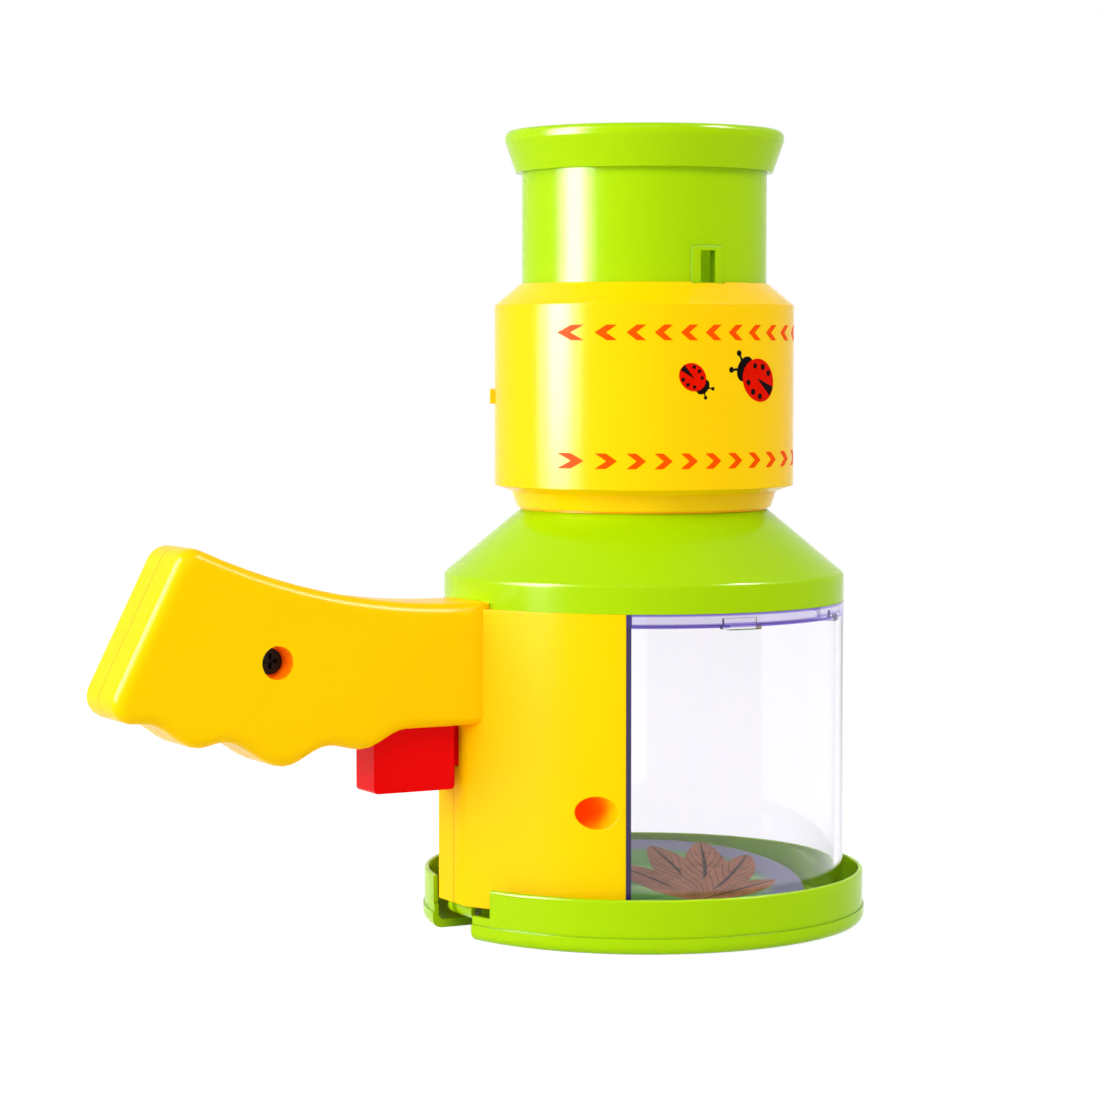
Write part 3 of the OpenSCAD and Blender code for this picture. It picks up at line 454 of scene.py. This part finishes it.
def disc(middle, radius_a, radius_b, turn, count=15):
    """An ellipse from a square grid: each side of the square is bowed out to the circle, then scaled and
    turned."""
    a, b = square_grid(count, count)
    p, q = radius_a * a * np.sqrt(1 - b * b / 2), radius_b * b * np.sqrt(1 - a * a / 2)
    return (middle[0] + p * math.cos(turn) - q * math.sin(turn),
            middle[1] + p * math.sin(turn) + q * math.cos(turn))


def wedge(start, end, half_start, half_end):
    """A straight strip between two points whose half width runs evenly from one value to the other."""
    a, b = square_grid(9, 7)
    t = (a + 1) / 2
    along = np.array(end) - np.array(start)
    across = np.array([-along[1], along[0]]) / np.linalg.norm(along)
    half = (half_start + (half_end - half_start) * t) * b
    return start[0] + along[0] * t + across[0] * half, start[1] + along[1] * t + across[1] * half


# Prints on the collar

def on_collar(drawing, low, high):
    """A flat drawing (length from the middle of the print, height) wrapped round the collar as a film. The
    printing pad rolls off the curve, so the drawing is stretched by the fourth power of that length."""
    arc = PRINT_MIDDLE + drawing[0] * (1 + PRINT_STRETCH * (drawing[0] / PRINT_REACH) ** 4)
    angle = arc / COLLAR_R - math.pi / 2
    films = [np.stack([r * np.cos(angle), r * np.sin(angle), drawing[1]], axis=-1) * MM
             for r in (COLLAR_R + high, COLLAR_R + low)]
    return shell(*films)


def chevron(middle, point):
    """A chevron that points along the row, forwards at 1 and back at -1: its arms lean back from the tip,
    and it is the same width along the row at every height."""
    a, b = square_grid(9, 4)
    return (middle[0] + point * (CHEVRON_SLANT / 2 - CHEVRON_SLANT * np.abs(a)) + b * CHEVRON_ARM / 2,
            middle[1] + a * CHEVRON_HEIGHT / 2)


def chevron_row(name, height, point):
    """A row of chevrons, evenly spaced round the near side of the collar at a height in mm."""
    places = (np.arange(CHEVRONS) - CHEVRONS // 2) * CHEVRON_PITCH
    shells = [on_collar(chevron((place, height), point), *CHEVRON_FILM) for place in places]
    object_from(name, *gathered(shells), ORANGE_INK, "yellow_collar", "body")


def ladybird(name, middle, radius, heading):
    """A printed ladybird: round red wing cases, a black head with feelers, a wing gap and six spots. Its
    places, ahead of the middle and to the side, and its sizes are shares of the wing cases' radius."""
    ahead = np.array([math.cos(heading), math.sin(heading)])
    aside = np.array([-ahead[1], ahead[0]])

    def spot(p, q):
        return tuple(np.array(middle) + radius * (ahead * p + aside * q))

    def dot(p, q, size, film):
        return on_collar(disc(spot(p, q), size * radius, size * radius, 0, 9), *film)

    black = [on_collar(disc(spot(0.95, 0), 0.42 * radius, 0.56 * radius, heading), *HEAD_FILM)]
    for side in (-1, 1):
        black.append(on_collar(wedge(spot(1.2, 0.15 * side), spot(1.54, 0.38 * side),
                                     0.06 * radius, 0.045 * radius), *HEAD_FILM))
        black.append(dot(1.58, 0.4 * side, 0.125, HEAD_FILM))
        for p, q, size in ((0.52, 0.4, 0.12), (0.08, 0.6, 0.13), (-0.38, 0.56, 0.13)):
            black.append(dot(p, q * side, size, SPOT_FILM))
    black.append(on_collar(wedge(spot(0.1, 0), spot(-0.96, 0), 0.02 * radius, 0.22 * radius), *SPOT_FILM))
    object_from(name + "_black", *gathered(black), BLACK_INK, "yellow_collar", "body")
    red = on_collar(disc(middle, radius, radius * 0.88, heading, 25), *WING_FILM)
    object_from(name + "_red", *red, RED_INK, "yellow_collar", "body")


# Print on the card

def on_card(drawing, low, high):
    """A flat drawing in the card's own plane laid on the card as a film."""
    right = np.array([math.cos(CARD_TURN), math.sin(CARD_TURN), 0.0])
    rise = np.array([-math.sin(CARD_TURN) * math.cos(CARD_TILT), math.cos(CARD_TURN) * math.cos(CARD_TILT),
                     math.sin(CARD_TILT)])
    up = np.cross(right, rise)
    flat = drawing[0][..., None] * right + drawing[1][..., None] * rise + np.array([0, 0, CARD_MID])
    films = [(flat + up * (CARD_T + lift)) * MM for lift in (high, low)]
    return shell(*films)


def leaf(name, bend, end, half, low):
    """A leaf: a strip along the quadratic curve from the stalk past its bend to its tip, whose half width
    follows the sine of the way along, to the power 0.6."""
    a, b = square_grid(61, 13)
    t = (a + 1) / 2
    line = [(1 - t) ** 2 * STALK[k] + 2 * t * (1 - t) * bend[k] + t ** 2 * end[k] for k in (0, 1)]
    way = [2 * (1 - t) * (bend[k] - STALK[k]) + 2 * t * (end[k] - bend[k]) for k in (0, 1)]
    long = np.hypot(*way)
    wide = half * (np.sin(np.pi * t).clip(0) ** 0.6 + 0.02) * b
    drawing = (line[0] - way[1] / long * wide, line[1] + way[0] / long * wide)
    piece = object_from(name, *on_card(drawing, low, low + LEAF_FILM), LEAF, "printed_card", "tray")
    # The veins follow the leaf's own chart: along it, then across it
    chart = np.tile(np.stack([t, (b + 1) / 2], axis=-1).reshape(-1, 2), (2, 1))
    layer = piece.data.uv_layers.new(name="blade")
    corner = np.empty(len(piece.data.loops), dtype=np.int64)
    piece.data.loops.foreach_get("vertex_index", corner)
    layer.data.foreach_set("uv", chart[corner].reshape(-1))


# The object

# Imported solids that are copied, merged and smoothed, each with its finish and slot
SMOOTHED = {
    "near_body_half": (YELLOW, "yellow_shell"),
    "far_body_half": (YELLOW, "yellow_shell"),
    "trigger": (RED, "red_trigger"),
}
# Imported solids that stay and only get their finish
KEPT = {
    "viewing_chamber": CLEAR,
    "shoulder": LIME,
    "focus_collar": COLLAR_YELLOW,
    "objective_lens": LENS,
    "objective_ring": BLACK,
    "handle_screw": SCREW_STEEL,
    "body_screw": SCREW_STEEL,
    "hinge_pin": PIN_STEEL,
    "eyepiece_tube": LIME,
    "eyepiece_cap": LIME,
    "eye_lens": LENS,
    "eye_lens_ring": BLACK,
    "pull_rod": LIME,
    "base_tray": LIME,
    "link_pin": PIN_STEEL,
    "picture_card": CARD,
}
for node_name, (finish, slot_name) in SMOOTHED.items():
    joined(node_name, finish, slot_name)
for node_name, finish in KEPT.items():
    mesh = frame["nodes"][node_name].data
    mesh.materials.clear()
    mesh.materials.append(finish)

# The coil hangs from its seat; here it is one smoothed wire mesh with a mesh of its own
coil = joined("trigger_spring", PIN_STEEL, "pin_steel", crease=70.0, kind="wire")
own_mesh(coil)

chevron_row("upper_chevrons", 145.4, -1)
chevron_row("lower_chevrons", 114.9, 1)
ladybird("small_ladybird", (-5.4, 134.8), 3.6, math.radians(-42))
ladybird("large_ladybird", (13.9, 134.0), 5.7, math.radians(150))
for number, (bend, end, half) in enumerate(LEAVES):
    leaf(f"leaf_{number + 1}", bend, end, half, LEAF_GAP + LEAF_STEP * number)


# Camera, floor and light

def set_camera():
    """The photograph's view: 30 degrees round from the near side, with its axis aimed at the point that
    lies in the middle of the photo, 23.3 mm left of the object's own axis and 91.6 mm up. Half the frame
    is 136.58 mm wide at the object."""
    distance, turn, eye = 0.794, math.radians(-30.0), 0.1407
    aim_left, aim_up = 0.0233, 0.0916
    half_view = 0.13658
    data = bpy.data.cameras.new("photo_view")
    camera = bpy.data.objects.new("photo_view", data)
    bpy.context.scene.collection.objects.link(camera)
    camera.location = (distance * math.sin(turn), -distance * math.cos(turn), eye)
    camera.rotation_euler = (math.radians(90.0) - math.atan((eye - aim_up) / distance), 0.0,
                             turn + math.atan(aim_left / distance))
    data.sensor_width = 36.0
    data.lens = data.sensor_width / 2 * distance / half_view
    data.clip_start, data.clip_end = 0.05, 20.0
    bpy.context.scene.camera = camera


def soft_box(name, place, aim, size, watts, gleam_only):
    """A rectangular soft light that faces a point, or one that only shows as a gleam on glossy skins."""
    data = bpy.data.lights.new(name, "AREA")
    data.shape = "RECTANGLE"
    data.size, data.size_y = size
    data.energy = watts
    light = bpy.data.objects.new(name, data)
    bpy.context.scene.collection.objects.link(light)
    light.location = place
    way = np.array(aim) - np.array(place)
    light.rotation_euler = (math.acos(-way[2] / np.linalg.norm(way)), 0.0,
                            math.atan2(way[1], way[0]) - math.pi / 2)
    light.visible_diffuse = light.visible_transmission = not gleam_only


def seen_by_eye(tree):
    """One where a camera, glossy or transmission ray looks, and zero where light is gathered."""
    path = add(tree, "ShaderNodeLightPath")
    direct = add(tree, "ShaderNodeMath", None, {0: (path, "Is Camera Ray"), 1: (path, "Is Glossy Ray")},
                 operation="MAXIMUM")
    return add(tree, "ShaderNodeMath", None, {0: (direct, "Value"), 1: (path, "Is Transmission Ray")},
               operation="MAXIMUM")


def set_stage():
    """A plain pale floor, 0.1 mm under the tray, that keeps the shadow, and a white world behind everything."""
    made, tree = new_material("pale_floor")
    paper = add(tree, "ShaderNodeBsdfDiffuse", {"Color": srgb("#E8E8E8")})
    # To the eye the floor is nearly white of itself, and the light on it brings it up to white
    shade = add(tree, "ShaderNodeBsdfDiffuse", {"Color": (0.3, 0.3, 0.3, 1.0)})
    glow = add(tree, "ShaderNodeEmission", {"Color": (0.85, 0.85, 0.85, 1.0), "Strength": 1.0})
    white = add(tree, "ShaderNodeAddShader", None, {0: (shade, "BSDF"), 1: (glow, "Emission")})
    both = add(tree, "ShaderNodeMixShader", None,
               {0: (seen_by_eye(tree), "Value"), 1: (paper, "BSDF"), 2: (white, "Shader")})
    half, low = 6.0, -0.1 * MM
    mesh = bpy.data.meshes.new("pale_floor")
    mesh.from_pydata([(-half, -half, low), (half, -half, low), (half, half, low), (-half, half, low)], [],
                     [(0, 1, 2, 3)])
    mesh.materials.append(finished(made, both))
    floor = bpy.data.objects.new("pale_floor", mesh)
    bpy.context.scene.collection.objects.link(floor)

    # The world is white to the eye and lights the object at just over half of that
    world = bpy.data.worlds.new("white_studio")
    bpy.context.scene.world = world
    world.use_nodes = True
    tree = world.node_tree
    tree.nodes.clear()
    strength = add(tree, "ShaderNodeMapRange", {"To Min": 0.55, "To Max": 1.0},
                   {"Value": (seen_by_eye(tree), "Value")})
    sky = add(tree, "ShaderNodeBackground", {"Color": (1.0, 1.0, 1.0, 1.0)},
              {"Strength": (strength, "Result")})
    add(tree, "ShaderNodeOutputWorld", None, {"Surface": (sky, "Background")})


set_camera()
set_stage()
for light_name, light_settings in LIGHTS.items():
    soft_box(light_name, *light_settings)

bpy.context.scene.view_settings.view_transform = "Standard"
